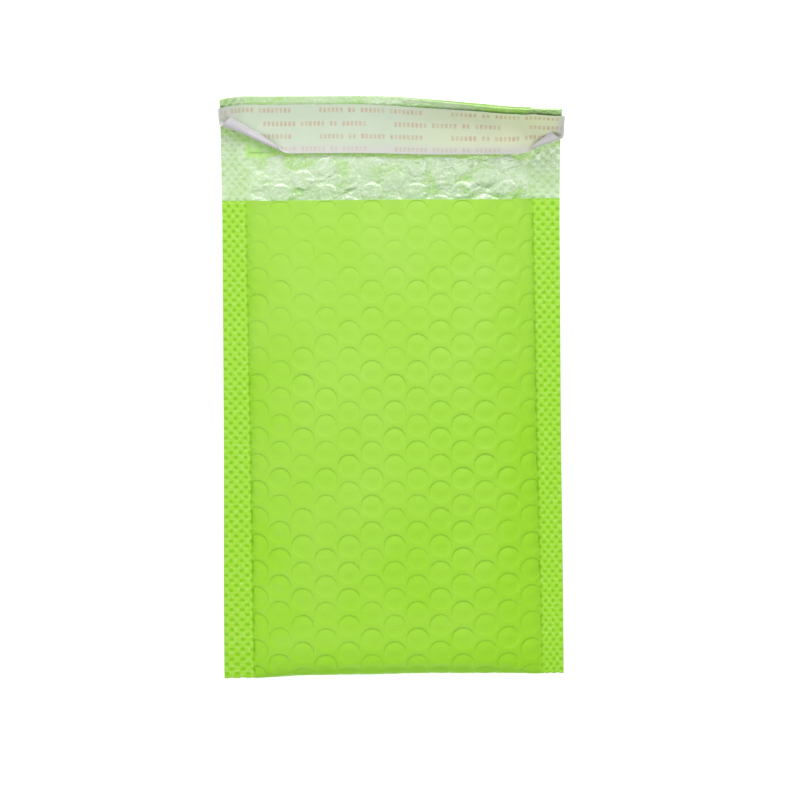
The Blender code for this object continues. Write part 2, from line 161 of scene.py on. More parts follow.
LOOSE_INSET, LOOSE_SLOPE = 0.0006, 0.0022  # from the seals to where it is loose
LOOSE_ENDS = 0.0030  # below the strip
BED_DROP = 0.0014  # how much flatter the crushed bubbles are toward the flap's edge
BED_ZONE = (0.024, 0.014)
BED_BELOW, BED_BELOW_SLOPE = 0.0110, 0.0105  # the bed of the strip starts this far below it
BED_ABOVE, BED_ABOVE_SLOPE = 0.0040, 0.0070  # and ends this far above it
MARGIN_EARLY, MARGIN_SLOPE = 0.0015, 0.0010  # the margin sets in this far before the strip's end

# The adhesive and the liner.
STRIP_RIPPLE, STRIP_RIPPLE_LENGTH = 0.00012, 0.0035
STRIP_SWELL = 0.00006
LINER_RIPPLE, LINER_RIPPLE_LENGTH = 0.00006, 0.012
LIFT_LENGTH, RIPPLE_FROM_EDGE = 0.008, 0.004
LINER_SLIDE = 0.0010  # how much further up the flap its upper edge lies, right of the middle
SLIDE_ZONE, SLIDE_END_ZONE = (0.004, 0.040), (0.062, 0.012)
SLIDE_ALONG_ZONE = (0.026, 0.016)

# Points in the meshes.
PRINT_POINTS_FRONT, PRINT_POINTS_BACK = 24, 16  # in each ring of a bubble's print
FILM_ACROSS = 61
LINING_ACROSS, LINING_ALONG = 401, 121
POUCH_ALONG, POUCH_ROUND = 128, 6  # along the straight part and round the end of the pouch
STRIP_ACROSS, STRIP_ALONG = 123, 22
LINER_ACROSS, LINER_ALONG = 302, 44


def smooth(t):
    """0 to 1, level at both ends."""
    t = np.clip(t, 0, 1)
    return t * t * (3 - 2 * t)


def ramp(value, start, length):
    """0 up to start, then smoothly up to 1 over the length."""
    return smooth((value - start) / length)


def waves(x, y, seed, length, count=8):
    """Smooth irregular field of about -1 to 1, made of seeded sine waves."""
    rng = np.random.default_rng(seed)
    total = 0.0
    for _ in range(count):
        angle, size, phase = rng.uniform(0, 6.28), rng.uniform(0.7, 1.6) * length, rng.uniform(0, 6.28)
        total = total + np.sin((x * math.cos(angle) + y * math.sin(angle)) * 6.283 / size + phase)
    return total / math.sqrt(count * 1.6)


def creases(x, y, seed, length, count=9, stretch=1.0):
    """Crumpled film: seeded folds, each a zigzag with sharp ridges, bent by a smooth field. Mean 0."""
    rng = np.random.default_rng(seed)
    u = x / stretch + 0.35 * length * waves(x, y, seed + 1, 3.2 * length)
    v = y + 0.35 * length * waves(x, y, seed + 2, 3.2 * length)
    total = 0.0
    for _ in range(count):
        angle, size, phase = rng.uniform(0, 3.14), rng.uniform(0.7, 1.5) * length, rng.uniform(0, 1)
        at = (u * math.cos(angle) + v * math.sin(angle)) / size + phase
        total = total + np.abs(at - np.floor(at) - 0.5) - 0.25
    return total / math.sqrt(count / 3.0)


def shoulder(x):
    """How round the pouch is across: 1 in the middle, 0 at the seals."""
    return np.sqrt(1 - np.clip(np.abs(x) / INNER, 0, 1) ** 3)


def crown(y):
    """Thickness of the pouch in its middle."""
    up = np.clip((y - Y_CROWN) / (Y_MOUTH - Y_CROWN), 0, 1)
    down = np.clip((Y_CROWN - y) / (Y_CROWN - Y_FOLD), 0, 1)
    return CROWN - MOUTH_DROP * up**2 - FOLD_DROP * down**2


def back_height(x):
    """Height of the back over the table."""
    return SEAM_HEIGHT * np.clip((np.abs(x) - INNER + SEAM_RISE) / SEAM_RISE, 0, 1) ** 2


def front_height(x, y):
    """Height of the front over the table."""
    low = back_height(x) + 2 * STACK
    return low + (crown(y) - low) * shoulder(x)


def fold_line(x):
    """Place of the bottom edge."""
    return Y_FOLD + FOLD_DRAWN_IN * shoulder(x) ** 2 + FOLD_SKEW * x / HALF


def fold_depth(x):
    """How far the round of the bottom fold reaches in."""
    return STACK + (FOLD_DEPTH - STACK) * shoulder(x)


def half_height(x, y):
    """Half of the pouch's thickness."""
    return (front_height(x, y) - back_height(x)) / 2


def fold_length(x):
    """Length of the film round half of the bottom fold: a quarter of an ellipse."""
    a, b = fold_depth(x), half_height(x, fold_line(x) + fold_depth(x))
    return math.pi / 4 * (3 * (a + b) - np.sqrt((3 * a + b) * (a + 3 * b)))


SIDE = float(PANEL - FOLD_DEPTH + fold_length(0.0))
WEB = 2 * SIDE + FLAP
FILM_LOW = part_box("outer_film")[0]
SHIFT = np.array([FILM_LOW[0] + HALF, FILM_LOW[1] - float(fold_line(-HALF)), FILM_LOW[2]])


def film_inner(x):
    """Depth of the film's inner face."""
    return FILM_SEAL + (FILM - FILM_SEAL) * smooth((INNER - np.abs(x)) / 0.004)


def lining_outer(x):
    """Depth of the lining's outer face."""
    return film_inner(x) + GAP


def flap_curl(x):
    """How far the flap turns up from its root to its edge, radians."""
    right = np.sin(math.pi / 2 * np.clip((x - HALF) / CURL_RIGHT_FROM + 1, 0, 1)) ** 1.4
    left = np.clip((-x - INNER) / SEAL, 0, 1.1)
    return CURL_MIDDLE + (CURL_RIGHT - CURL_MIDDLE) * right + (CURL_LEFT - CURL_MIDDLE) * left


def seam_shift(x, y):
    """How far the padded middle, between the seals, lies to the right of the CAD model's."""
    lean = SEAM_LEAN * ((Y_FOLD + Y_MOUTH) / 2 - y) + SEAM_RIGHT * ramp(x, *SEAM_RIGHT_ZONE)
    return lean * smooth((HALF - np.abs(x)) / SEAL)


def waist(y):
    """Share by which the envelope is narrower at y."""
    return WAIST * (ramp(y, *WAIST_ZONE) - 0.5 * ramp(y, *WAIST_MOUTH_ZONE))


def drawn_in(x, y):
    """How far the padding between the seals draws in the bottom edge."""
    near = smooth((INNER - np.abs(x)) / BOTTOM_ACROSS) * (1 - ramp(y, Y_FOLD, BOTTOM_ALONG))
    return BOTTOM_DRAWN_IN * (1 - BOTTOM_LEAN * x / INNER) * near


def place(x, s, depth):
    """Point of the folded web, in the frame of the CAD model."""
    x, s, depth = np.broadcast_arrays(*(np.asarray(v, float) for v in (x, s, depth)))
    tip, a, end = fold_line(x), fold_depth(x), fold_length(x)
    on_front = s <= SIDE
    t = np.where(on_front, SIDE - s, np.minimum(s - SIDE, SIDE))
    flat = tip + a + (t - end) / (SIDE - end) * (Y_MOUTH - tip - a)
    angle = np.clip(t / end, 0, 1) * math.pi / 2
    y = np.where(t < end, tip + depth + (a - depth) * (1 - np.cos(angle)), flat)
    y_height = np.maximum(y, tip + a)
    middle = (front_height(x, y_height) + back_height(x)) / 2
    rise = (half_height(x, y_height) - depth) * np.sin(angle)
    z = np.where(on_front, middle + rise, middle - rise)
    v = s - 2 * SIDE
    bend = flap_curl(x) / FLAP
    turn = np.maximum(v, 0) * bend
    skew = FLAP_SKEW * ramp(x, *FLAP_SKEW_ZONE) * smooth(v / FLAP_SKEW_ALONG)
    flap_y = Y_MOUTH + np.sin(turn) / bend - depth * np.sin(turn) + skew
    flap_z = back_height(x) + (1 - np.cos(turn)) / bend + depth * np.cos(turn)
    y = np.where(v > 0, flap_y, y)
    across = x * (1 - waist(y)) + seam_shift(x, y)
    y = y + drawn_in(x, y)
    return np.stack([across, y, np.where(v > 0, flap_z, z)], axis=-1) + SHIFT


class Sheet:
    """Collects patches of points and faces, with one value a point for the material, and welds them."""

    def __init__(self):
        self.points, self.faces, self.values, self.flat = [], [], [], []
        self.count = 0

    def add(self, points, faces, value=0.0, flat=(0.0, 0.0)):
        points = np.asarray(points, float).reshape(-1, 3)
        self.points.append(points)
        self.values.append(np.broadcast_to(np.asarray(value, float).reshape(-1), (len(points),)))
        self.flat.append(np.broadcast_to(np.asarray(flat, float).reshape(-1, 2), (len(points), 2)))
        self.faces.extend((np.asarray(face) + self.count).tolist() for face in faces)
        self.count += len(points)

    def grid(self, points, value=0.0, flat=(0.0, 0.0), flip=False):
        rows, columns = points.shape[:2]
        start = (np.arange(rows - 1)[:, None] * columns + np.arange(columns - 1)).reshape(-1)
        quads = np.stack([start, start + 1, start + columns + 1, start + columns], axis=1)
        self.add(points, quads[:, ::-1] if flip else quads, value, flat)

    def strip(self, one, other, value=0.0):
        self.grid(np.stack([np.asarray(one), np.asarray(other)]), value)

    def build(self, name, material, node, sharp=1.0):
        mesh = bpy.data.meshes.new(name)
        mesh.from_pydata(np.concatenate(self.points).tolist(), [], self.faces)
        mesh.attributes.new("value", "FLOAT", "POINT").data.foreach_set(
            "value", np.concatenate(self.values).astype(np.float32)
        )
        flat = np.concatenate(self.flat)
        layer = mesh.uv_layers.new(name="flat")
        corners = np.empty(len(mesh.loops), np.int32)
        mesh.loops.foreach_get("vertex_index", corners)
        layer.data.foreach_set("uv", flat[corners].astype(np.float32).reshape(-1))
        work = bmesh.new()
        work.from_mesh(mesh)
        bmesh.ops.remove_doubles(work, verts=work.verts, dist=1.5e-6)
        bmesh.ops.dissolve_degenerate(work, edges=work.edges, dist=1e-6)
        bmesh.ops.recalc_face_normals(work, faces=work.faces)
        for face in work.faces:
            face.smooth = True
        for edge in work.edges:
            edge.smooth = len(edge.link_faces) == 2 and edge.calc_face_angle(0.0) < sharp
        work.to_mesh(mesh)
        work.free()
        mesh.materials.append(material)
        made = bpy.data.objects.new(name, mesh)
        bpy.context.scene.collection.objects.link(made)
        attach(made, "root")
        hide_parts(node)
        return made


def triangulated(points, lines):
    """Triangles over flat points (mm), keeping the given lines."""
    _, _, faces, found, _, _ = delaunay_2d_cdt([Vector(p) for p in points], lines, [], 0, 1e-4)
    back = [sources[0] for sources in found]
    return np.array([[back[i] for i in face] for face in faces])


def turned(x, s):
    """The bubbles of the front and the back are set a little askew to the envelope."""
    from_mouth = min(s, 2 * SIDE - s)
    askew = GRID_TURN * (max(from_mouth, 0) - PANEL / 2)
    spread = LEFT_SPREAD * float(ramp(-x, *LEFT_SPREAD_ZONE))
    return x - (askew + spread) - float(seam_shift(x, Y_MOUTH - from_mouth)), s + GRID_TURN * x


def bubble_centres(s_from, s_to):
    """Middles of the bubbles between two places along the web, column by column."""
    made = []
    for column in range(COLUMNS):
        i = column - COLUMNS // 2
        x = COLUMN_SHIFT + i * COLUMN_PITCH
        first = FIRST_ROW + (ROW_PITCH / 2 if i % 2 else 0) - 2 * ROW_PITCH
        for k in range(int(WEB / ROW_PITCH) + 4):
            s = first + k * ROW_PITCH
            if abs(x) < INNER - BUBBLE_EDGE and s_from < s < s_to:
                made.append(turned(x, s))
    return made


def knurl(x, s):
    """Depth of the pits pressed into a seal, 0 at its inside edge."""
    inside = smooth((np.abs(x) - INNER + KNURL_EARLY) / KNURL_SLOPE)
    from_edge = HALF - KNURL_INSET - np.abs(x)
    pit = np.cos(2 * math.pi * from_edge / KNURL_ACROSS) * np.cos(2 * math.pi * s / KNURL_ALONG)
    worn = 1 + 0.25 * waves(x, s, 31, 0.011)
    return KNURL_DEPTH * inside * worn * np.clip(pit, 0, 1) ** 0.6


def film_depth(x, s):
    """Depth of the film away from the bubbles: slow waves, and pressed in along the seals."""
    pressed = SEAL_PRESSED * smooth((np.abs(x) - INNER + SEAL_SLOPE) / SEAL_SLOPE)
    slow = smooth((INNER - np.abs(x)) / SLOW_WAVE_EDGE) * SLOW_WAVE * waves(x, s, 11, SLOW_WAVE_LENGTH)
    return pressed + knurl(x, s) + np.where(s > SIDE, np.maximum(slow, 0), slow)


def mouth_shift(x, s):
    """The cut edge at the mouth isn't quite straight."""
    near = np.clip(1 - s / MOUTH_REACH, 0, 1)
    at_seals = -MOUTH_AT_SEALS * ramp(np.abs(x), *MOUTH_SEAL_ZONE)
    return near * (MOUTH_WAVE * waves(x, x * 0, 21, MOUTH_WAVE_LENGTH) + at_seals)


def film_point(x, s, depth):
    """Point of the web, with the mouth's cut edge as it is in the photograph."""
    return place(x, s + mouth_shift(x, s), depth)


# Rings of a bubble's print: share of its radius and depth on the mouth's side, then on the fold's side.
RINGS = (
    (1.030, 0.0, 1.06, 0.0),
    (0.995, 0.12, 1.00, 0.07),
    (0.955, 0.90, 0.92, 0.30),
    (0.915, 1.0, 0.80, 0.44),
    (0.780, 0.82, 0.60, 0.52),
    (0.520, 0.38, 0.37, 0.54),
    (0.220, 0.02, 0.17, 0.12),
    (0.0, 0.0, 0.0, 0.0),
)


class FlatPoints:
    """Points of the film on the flat web, the lines kept between them, and whose rim each is on."""

    def __init__(self):
        self.points, self.lines, self.owners = [], [], []

    def put(self, xs, ss, owner=-1):
        start = len(self.points)
        self.points.extend(zip(np.asarray(xs) * 1000, np.asarray(ss) * 1000))
        self.owners.extend([owner] * (len(self.points) - start))
        return list(range(start, len(self.points)))

    def edge(self, xs, ss):
        made = self.put(xs, ss)
        self.lines += list(zip(made, made[1:]))

    def rim(self, xs, ss, owner):
        made = self.put(xs, ss, owner)
        self.lines += list(zip(made, made[1:] + made[:1]))

    def faces(self):
        """Triangles over all but the insides of the rims."""
        made = triangulated(self.points, self.lines)
        owner = np.array(self.owners)[made]
        one_rim = (owner[:, 0] >= 0) & (owner[:, 0] == owner[:, 1]) & (owner[:, 1] == owner[:, 2])
        return made[~one_rim]


def bubble_print(rng, number, x, s):
    """Rings of one bubble's print: points in a ring, places across and along the web, and added depths."""
    count = PRINT_POINTS_FRONT if s < SIDE + BUBBLE_RADIUS else PRINT_POINTS_BACK
    angles = (np.arange(count) + 0.5 * (number % 2)) * 2 * math.pi / count
    radius = BUBBLE_RADIUS * rng.uniform(0.975, 1.015)
    strength = (0.55 + 0.45 * smooth(s / 0.13)) * rng.uniform(0.75, 1.2)
    lean, turn = rng.uniform(0.0, 0.28), rng.uniform(0, 2 * math.pi)
    xs, ss, ds = [], [], []
    for upper, upper_deep, lower, lower_deep in RINGS:
        inset = BUBBLE_EDGE + (1.06 - upper) * 0.0006
        at = angles if upper else angles[:1]
        toward_fold = smooth((np.sin(at) + 0.35) / 1.2)
        share = upper + (lower - upper) * toward_fold
        xs.append(np.clip(x + share * radius * np.cos(at), inset - INNER, INNER - inset))
        ss.append(np.clip(s + share * radius * np.sin(at), inset, WEB - inset))
        deep = upper_deep + (lower_deep - upper_deep) * toward_fold
        flatter = 0.3 + 0.7 * smooth(np.abs(ss[-1] - SIDE) / 0.006)
        ds.append(PRINT_DEPTH * strength * deep * flatter * (1 + lean * share * np.cos(at - turn)))
    return count, xs, ss, ds


def ring_faces(count):
    """Quads between the rings of a print, and the fan at its middle."""
    steps = np.arange(count)
    made = []
    for ring in range(len(RINGS) - 2):
        a, b = ring * count + steps, ring * count + (steps + 1) % count
        made += list(np.stack([a, b, b + count, a + count], axis=1))
    last = (len(RINGS) - 2) * count
    fan = np.stack([last + steps, last + (steps + 1) % count, np.full(count, last + count)], axis=1)
    return made + list(fan)


def film_panels(sheet, rows, across):
    """The film between the seals, with the print of every bubble."""
    web = FlatPoints()
    for s in (0.0, WEB):
        web.edge(across[1:-1], np.full(len(across) - 2, s))
    for x in (-INNER, INNER):
        web.edge(np.full(len(rows), x), rows)
    rng = np.random.default_rng(5)
    prints = []
    for number, (x, s) in enumerate(bubble_centres(EDGE_TO_BUBBLE, WEB - EDGE_TO_BUBBLE)):
        count, xs, ss, ds = bubble_print(rng, number, x, s)
        web.rim(xs[0], ss[0], number)
        prints.append((count, np.concatenate(xs), np.concatenate(ss), np.concatenate(ds)))
    flat = np.array(web.points) / 1000
    depth = film_depth(flat[:, 0], flat[:, 1])
    sheet.add(film_point(flat[:, 0], flat[:, 1], depth), web.faces(), 0.0, flat)
    for count, xs, ss, ds in prints:
        points = film_point(xs, ss, film_depth(xs, ss) + ds)
        sheet.add(points, ring_faces(count), 0.0, np.stack([xs, ss], axis=-1))


def outer_film(material):
    sheet = Sheet()
    panel_rows = np.linspace(0, SIDE, round(SIDE / SEAL_ROW) + 1)
    flap_rows = 2 * SIDE + np.linspace(0, FLAP, round(FLAP / SEAL_ROW) + 1)
    rows = np.concatenate([panel_rows, 2 * SIDE - panel_rows[-2::-1], flap_rows[1:]])
    across = np.linspace(-INNER, INNER, FILM_ACROSS)
    seal = np.linspace(INNER, HALF, SEAL_COLUMNS + 1)
    film_panels(sheet, rows, across)
    for side in (-1, 1):
        x, s = np.meshgrid(side * seal, rows)
        sheet.grid(film_point(x, s, film_depth(x, s)), 0.0, np.stack([x, s], axis=-1))
        edge, front, back = np.full(len(panel_rows), side * HALF), panel_rows, 2 * SIDE - panel_rows
        depths = film_depth(edge, front), film_depth(edge, back)
        sheet.strip(film_point(edge, front, depths[0]), film_point(edge, back, depths[1]), 0.6)
        edge = np.full(len(flap_rows), side * HALF)
        depth = film_depth(edge, flap_rows)
        deeper = np.maximum(film_inner(edge), depth) + THIN
        sheet.strip(place(edge, flap_rows, depth), place(edge, flap_rows, deeper), 1.0)
    xs = np.concatenate([-seal[::-1], across[1:-1], seal])
    for s in (0.0, WEB):
        depth = film_depth(xs, s)
        deeper = np.maximum(film_inner(xs), depth + THIN)
        sheet.strip(film_point(xs, s, depth), film_point(xs, s, deeper), 1.0 if s else 0.2)
    return sheet.build("film_sheet", material, "outer_film", sharp=1.2)


def flap_top(x, level):
    """Depth of a face on the flap, level above the lining's lower face in the panel."""
    inside = np.abs(x) < INNER
    low = lining_outer(x)
    top = FILM + GAP + level - back_height(x)
    return low + np.where(inside, np.clip(top - low, LINING_LEAST, level), LINING_LEAST)


def bed_level(v):
    """Height of the crushed bubbles under the adhesive and the liner, less toward the flap's edge."""
    return STRIP_LEVEL - BED_DROP * ramp(v, *BED_ZONE)


def lining_relief(x, v):
    """Height of the crushed bubbles over the flap's flat lining, the crests, which get painted highlights, the
    loose area.
    """
    height, crest = np.zeros_like(x), np.zeros_like(x)
    rng = np.random.default_rng(17)
    for cx, cs in bubble_centres(2 * SIDE - 0.004, 2 * SIDE + STRIP_START - 0.001):
        cv = cs - 2 * SIDE
        full, flatten, turn = rng.uniform(0.35, 0.9), rng.uniform(1.0, 1.2), rng.uniform(0, 6.28)
        off_x, off_v = rng.normal(0, DENT_OFF, 2)
        apart = np.hypot(x - cx, (v - cv) * flatten) / (BUBBLE_RADIUS * 0.96)
        dent = 1 - 0.6 * full * np.exp(-((x - cx - off_x) ** 2 + (v - cv - off_v) ** 2) / DENT_WIDTH**2)
        height = np.maximum(height, CRUSHED_HEIGHT * full * np.sqrt(np.clip(1 - apart**4, 0, 1)) * dent)
        arc = np.clip(0.2 + np.sin(np.arctan2(v - cv, x - cx) + turn), 0, 1)
        crest = np.maximum(crest, full * arc * np.exp(-(((apart - 0.95) / 0.06) ** 2)))
    for seed, length, width in CREST_LINES:
        line = np.clip(1 - np.abs(waves(x / 2.4, v, seed, length)) / width, 0, 1)
        crest = np.maximum(crest, 0.9 * line * smooth(waves(x, v, seed + 50, 0.010) + 0.6))
    inside = smooth((INNER - LOOSE_INSET - np.abs(x)) / LOOSE_SLOPE)
    bed = smooth((v - STRIP_START + LOOSE_ENDS) / LOOSE_SLOPE)
    loose = inside * (1 - bed)
    crumple = CRUMPLE * creases(x, v, 41, CRUMPLE_LENGTH, stretch=2.2)
    crumple = crumple + FINE_CRUMPLE * creases(x, v, 43, FINE_CRUMPLE_LENGTH, stretch=1.8)
    return loose * (height + crumple + CREST_HEIGHT * crest + LOOSE_LIFT), loose * crest, loose


def below_liner(x, v):
    """Distance along the flap from the liner's lower edge, with its rolled corners, to a point below it."""
    edge = LINER_START + ROLL_LEFT[1] * np.clip((ROLL_LEFT[0] - HALF - x) / ROLL_LEFT[0], 0, 1)
    edge = edge + ROLL_RIGHT[1] * np.clip((x - HALF + ROLL_RIGHT[0]) / ROLL_RIGHT[0], 0, 1)
    return edge - v


def margin(v):
    """1 past the strip, toward the flap's edge."""
    return smooth((v - STRIP_START - STRIP_WIDTH + MARGIN_EARLY) / MARGIN_SLOPE)


def lining_depths(x, v, relief):
    """Depths of the lining's upper face on the flap and of its lower face."""
    bed = smooth((v - STRIP_START + BED_BELOW) / BED_BELOW_SLOPE)
    bed = bed * smooth((STRIP_START + STRIP_WIDTH + BED_ABOVE - v) / BED_ABOVE_SLOPE)
    level = LINING_BASE + (bed_level(v) - LINING_BASE) * bed
    depth = flap_top(x, level) + relief - 0.55 * knurl(x, 2 * SIDE + v)
    depth = depth + margin(v) * MARGIN_CRUMPLE * creases(x, v, 49, MARGIN_CRUMPLE_LENGTH, stretch=1.6)
    low = film_inner(x) + LOWER_CLEAR
    depth = np.maximum(depth, np.maximum(low, film_depth(x, 2 * SIDE + v) + UPPER_CLEAR))
    in_seal = smooth((np.abs(x) - INNER) / 0.001)
    return depth + np.abs(in_seal * creases(x, v, 47, SEAL_CRUMPLE_LENGTH) * SEAL_CRUMPLE), low


def closeness(x, v, relief, loose):
    """How closely the lining clings to the green film: 0 where it stands off, 1 and more where it sticks and in
    a band of painted shade below the liner.
    """
    cling = 0.9 * smooth(0.5 + waves(x / 1.8, v, 55, 0.009) - relief / 0.0012) * loose
    # A band below the liner, wider at both ends, where the lining sticks and which carries painted shade under
    # the liner's lifted edge and rolled corners.
    wide = 0.0030 + 0.0040 * ramp(x, 0.052, 0.012) + 0.0022 * ramp(-x, 0.045, 0.010)
    below = below_liner(x, v)
    below = np.where(np.abs(x) < 0.063, np.minimum(below, STRIP_START + 0.0012 - v), below)
    stuck_and_shaded = smooth((wide + 0.0010 * waves(x, v, 53, 0.016) - below) / 0.0014)
    cling = np.maximum(cling, 1.25 * stuck_and_shaded * (1 - margin(v)))
    # The margin past the strip sticks too, most toward its ends.
    ends = ramp(x, 0.022, 0.030) + 0.3 * ramp(-x, 0.052, 0.010)
    return np.maximum(cling, margin(v) * (0.55 + 0.6 * ends + 0.25 * waves(x / 2, v, 57, 0.010)))


def flap_lining(sheet, xs):
    """The lining over the flap, and its line of points at the flap's root."""
    x, v = np.meshgrid(xs, np.linspace(0, FLAP, LINING_ALONG))
    s = 2 * SIDE + v
    relief, crest, loose = lining_relief(x, v)
    depth, low = lining_depths(x, v, relief)
    top = place(x, s, depth)
    # The point value: closeness, less the crests, on which the material paints highlights.
    sheet.grid(top, closeness(x, v, relief, loose) - crest, np.stack([x, s], axis=-1))
    for edge, value in ((np.s_[:, 0], 0.3), (np.s_[:, -1], 0.3), (np.s_[-1], 0.9)):
        sheet.strip(top[edge], place(x[edge], s[edge], low[edge]), value)
    return top[0]


def pouch_skins(x):
    """Roof and floor of the pouch, from the mouth to the fold, with the bubbles standing in from both."""
    tip = fold_line(x) + WALL
    deep = FOLD_DEPTH - 0.001
    shares = np.linspace(1, 0, POUCH_ALONG)[:-1]
    straight = [tip + deep + (Y_MOUTH - tip - deep) * share for share in shares]
    angles = np.radians(np.linspace(0, 90, POUCH_ROUND))
    round_end = [(tip + deep * (1 - math.sin(a)), math.cos(a)) for a in angles]
    y = np.array(straight + [at for at, _ in round_end])
    open_by = np.array([1.0] * len(straight) + [share for _, share in round_end])[:, None]
    x = np.broadcast_to(x, y.shape)
    gap = (crown(y) / 2 - WALL) * np.sqrt(np.clip(1 - (np.abs(x) / POUCH) ** 3, 0, 1)) * open_by
    middle = (front_height(x, np.maximum(y, tip + deep)) + back_height(x)) / 2
    bump = np.zeros_like(y)
    for cx, cs in bubble_centres(0, SIDE):
        apart = np.hypot(x - cx, Y_MOUTH - y - cs) / (BUBBLE_RADIUS * 0.95)
        bump = np.maximum(bump, np.sqrt(np.clip(1 - apart**2.6, 0, 1)))
    bump = np.minimum(bump * 0.0011, gap * 0.6)
    return [np.stack([x, y, z], axis=-1) + SHIFT for z in (middle + gap - bump, middle - gap + bump)]


def pouch_lining(sheet, xs, root):
    """The inside of the pouch and the wall round its mouth, between the front's edge and the flap's root."""
    inside = np.abs(xs) <= POUCH
    roof, floor = pouch_skins(xs[inside])
    thin = np.concatenate([[0], np.arange(1, roof.shape[1] - 1, 3), [roof.shape[1] - 1]])
    sheet.grid(roof[1:, thin], 0.2)
    sheet.grid(floor[1:, thin], 0.2)
    sheet.grid(roof[:2], 0.2)
    sheet.grid(floor[:2], 0.2)
    front = film_point(xs, 0.0, lining_outer(xs))
    for part in range(4):
        a, b = part / 4, (part + 1) / 4
        for edge, skin in ((front[inside], roof[0]), (root[inside], floor[0])):
            sheet.strip(edge * (1 - a) + skin * a, edge * (1 - b) + skin * b, 0.1)
    first, last = np.flatnonzero(inside)[[0, -1]]
    for reach in (np.s_[: first + 1], np.s_[last:]):
        sheet.strip(root[reach], front[reach], 1.2)


def bubble_lining(material):
    sheet = Sheet()
    xs = np.linspace(-HALF, HALF, LINING_ACROSS)
    root = flap_lining(sheet, xs)
    pouch_lining(sheet, xs, root)
    return sheet.build("lining_sheet", material, "bubble_lining", sharp=1.4)


def slab(sheet, under, over, value=0.0, edge_value=0.0, flat_under=(0.0, 0.0), flat_over=(0.0, 0.0)):
    """Both faces and the four edges of a thin sheet."""
    sheet.grid(under, value, flat_under, flip=True)
    sheet.grid(over, value, flat_over)
    for edge in (np.s_[0], np.s_[-1], np.s_[:, 0], np.s_[:, -1]):
        sheet.strip(under[edge], over[edge], edge_value)


def adhesive_strip(material):
    sheet = Sheet()
    half = STRIP_LENGTH / 2
    up = STRIP_START + STRIP_WIDTH * np.linspace(0, 1, STRIP_ALONG)
    x, v = np.meshgrid(np.linspace(-half, half, STRIP_ACROSS), up)
    base = flap_top(x, bed_level(v)) + GAP
    ripple = STRIP_RIPPLE * creases(x, v, 61, STRIP_RIPPLE_LENGTH, stretch=1.6) + STRIP_SWELL
    slab(sheet, place(x, 2 * SIDE + v, base), place(x, 2 * SIDE + v, base + STRIP_THICKNESS + ripple))
    return sheet.build("adhesive_sheet", material, "adhesive_strip")


def rolled(x, v, roll, corner):
    """Where a point of the liner goes when its corner rolls up."""
    along_edge, up_end, radius_at_end, radius_at_edge, most = roll
    toward, length = math.copysign(1.0, corner), math.hypot(along_edge, up_end)
    normal = np.array([toward * up_end, -along_edge]) / length
    from_x, from_v = x - corner + toward * along_edge, v - LINER_START
    share = (from_x * toward * along_edge + from_v * up_end) / length**2
    radius = radius_at_edge + (radius_at_end - radius_at_edge) * np.clip(share, 0, 1)
    past = np.maximum(from_x * normal[0] + from_v * normal[1] + radius, 0)
    turn = np.minimum(past / radius, most)
    tail = past - turn * radius
    shift = radius * np.sin(turn) + tail * np.cos(turn) - past
    rise = radius * (1 - np.cos(turn)) + tail * np.sin(turn)
    return normal, shift, rise, turn


def liner_depth(x, v):
    """Depth of the liner's lower face on the flap before its corners roll."""
    lift = LINER_LIFT * (1 - ramp(v, LINER_START, LIFT_LENGTH))
    ripple = LINER_RIPPLE * waves(x, v * 0.3, 71, LINER_RIPPLE_LENGTH)
    ripple = ripple * ramp(v, LINER_START, RIPPLE_FROM_EDGE)
    return flap_top(x, bed_level(v)) + STRIP_THICKNESS + 3 * GAP + lift + ripple


def raised_liner(x, v, turn):
    """Where the liner stands off the adhesive: along its lower edge, in its rolls and at both ends."""
    raised = np.maximum(1 - ramp(v, LINER_START, 0.0060), smooth(turn / 0.8))
    raised = np.maximum(raised, smooth((x - HALF + 0.003) / 0.003) * 0.9)
    return np.maximum(raised, smooth((0.012 - HALF - x) / 0.010) * 0.6)


def release_liner(material):
    sheet = Sheet()
    left, right = -HALF - LINER_PAST_LEFT, HALF + LINER_PAST_RIGHT
    up = LINER_START + LINER_WIDTH * np.linspace(0, 1, LINER_ALONG)
    x, v = np.meshgrid(np.linspace(left, right, LINER_ACROSS), up)
    base = liner_depth(x, v)
    slide = LINER_SLIDE * ramp(x, *SLIDE_ZONE) * (1 - ramp(x, *SLIDE_END_ZONE)) * ramp(v, *SLIDE_ALONG_ZONE)
    faces = []
    for thickness in (0.0, LINER_THICKNESS * 0.6):
        to_x, to_v, height = x.copy(), v + slide, base.copy()
        most_turned = np.zeros_like(x)
        for roll, corner in ((ROLL_LEFT, left), (ROLL_RIGHT, right)):
            normal, shift, rise, turn = rolled(x, v, roll, corner)
            moved = shift - thickness * np.sin(turn)
            to_x += moved * normal[0]
            to_v += moved * normal[1]
            height += rise
            most_turned = np.maximum(most_turned, turn)
        height += thickness * np.cos(most_turned)
        faces.append(place(to_x, 2 * SIDE + to_v, height))
    flat = np.stack([x, v], axis=-1)
    # The underside's places are put 1 m back along the flap, so that the material knows it by them.
    slab(sheet, *faces, raised_liner(x, v, most_turned), 1.0, flat - [0, 1.0], flat)
    return sheet.build("liner_sheet", material, "release_liner")


